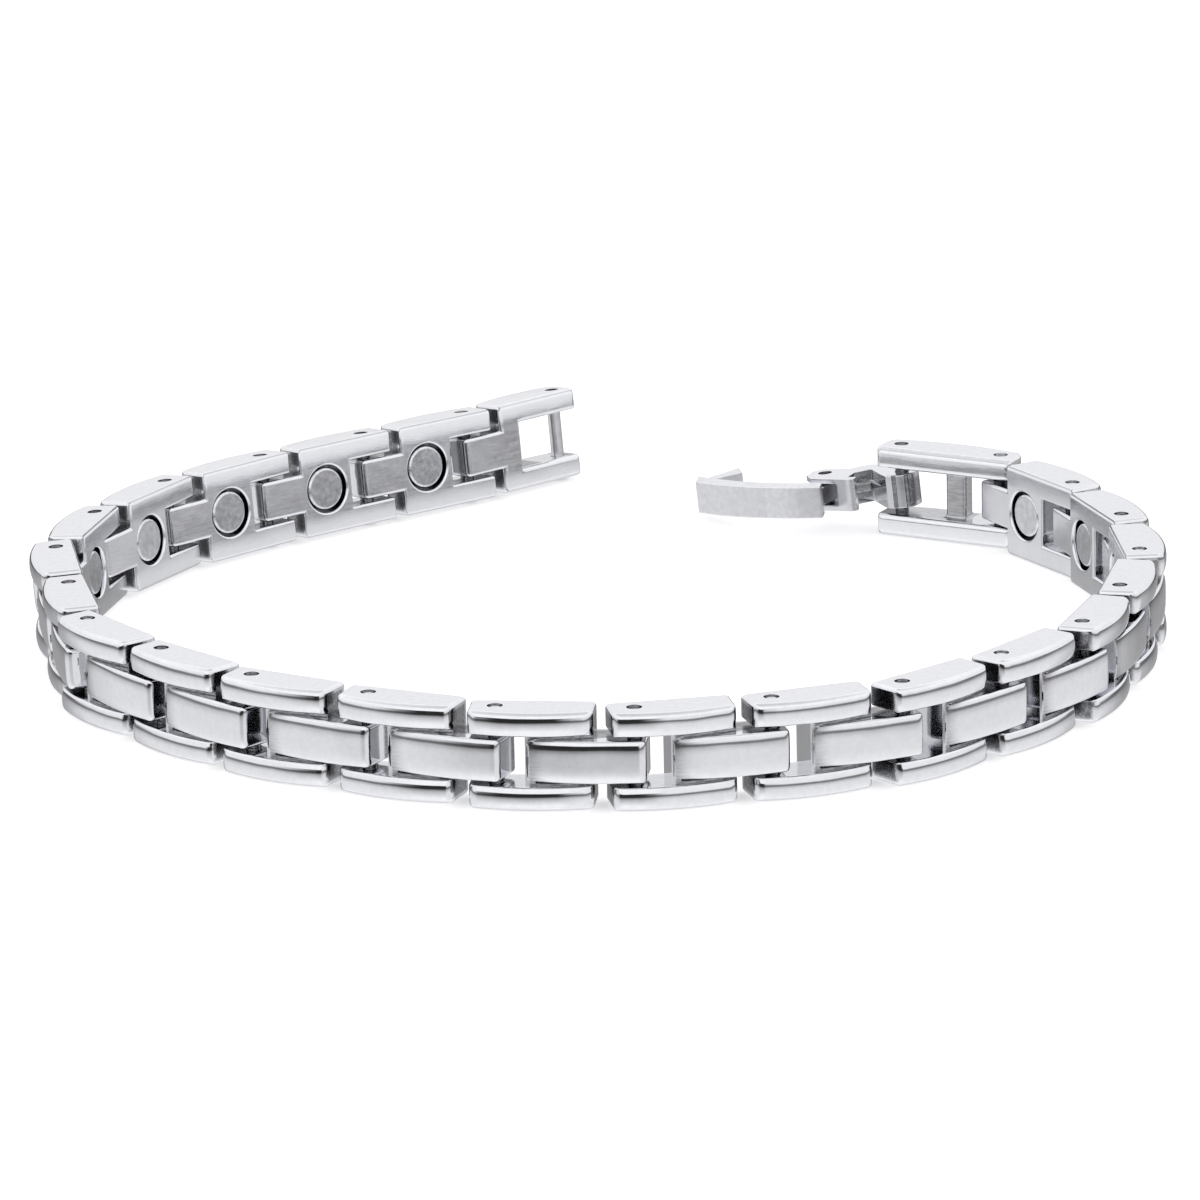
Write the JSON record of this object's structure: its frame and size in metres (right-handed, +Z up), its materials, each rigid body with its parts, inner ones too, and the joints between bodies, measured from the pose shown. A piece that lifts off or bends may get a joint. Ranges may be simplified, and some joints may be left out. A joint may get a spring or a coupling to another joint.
{
  "type": "magnetic bracelet",
  "caption": "Metal link bracelet with a disc magnet set in the inner side of each link and a hinged fold-over clasp, open and resting on its edge.",
  "frame": {"origin": "on the surface that the band rests on, under the middle of the open loop's bounding box", "axes": "+Z up from the edge that the band rests on, +Y from the front of the loop to its open ends, +X to the side where the clasp hangs"},
  "size_m": [0.0738, 0.0793, 0.0064],
  "materials": {
    "polished_steel": "polished, softly brushed on the inner side",
    "magnet": "satin nickel plate",
    "pin_steel": "satin"
  },
  "bodies": {
    "band": {"link_01": "polished_steel", "link_02": "polished_steel", "link_03": "polished_steel", "link_04": "polished_steel", "link_05": "polished_steel", "link_06": "polished_steel", "link_07": "polished_steel", "link_08": "polished_steel", "link_09": "polished_steel", "link_10": "polished_steel", "link_11": "polished_steel", "link_12": "polished_steel", "link_13": "polished_steel", "link_14": "polished_steel", "link_15": "polished_steel", "link_16": "polished_steel", "link_17": "polished_steel", "link_18": "polished_steel", "link_19": "polished_steel", "link_20": "polished_steel", "link_21": "polished_steel", "magnet_01": "magnet", "magnet_02": "magnet", "magnet_03": "magnet", "magnet_04": "magnet", "magnet_05": "magnet", "magnet_06": "magnet", "magnet_07": "magnet", "magnet_08": "magnet", "magnet_09": "magnet", "magnet_10": "magnet", "magnet_11": "magnet", "magnet_12": "magnet", "magnet_13": "magnet", "magnet_14": "magnet", "magnet_15": "magnet", "magnet_16": "magnet", "magnet_17": "magnet", "magnet_18": "magnet", "magnet_19": "magnet", "magnet_20": "magnet", "magnet_21": "magnet", "link_pins": "pin_steel", "clasp_frame": "polished_steel", "clasp_pin": "pin_steel", "catch_link": "polished_steel", "catch_bar": "pin_steel"},
    "hook_piece": {"clasp_link": "polished_steel", "cover_pin": "pin_steel"},
    "cover": {"clasp_cover": "polished_steel"}
  },
  "joints": [
    {"name": "clasp_link_hinge", "type": "hinge", "parent": "band", "child": "hook_piece", "pos_m": [0.02089, 0.02222, 0.0031], "axis": [0, 0, 1], "range_deg": [-5, 90]},
    {"name": "clasp_cover_hinge", "type": "hinge", "parent": "hook_piece", "child": "cover", "pos_m": [0.01585, 0.02436, 0.00253], "axis": [-0.0962, 0.0408, 0.9945], "range_deg": [-165, 20]}
  ]
}
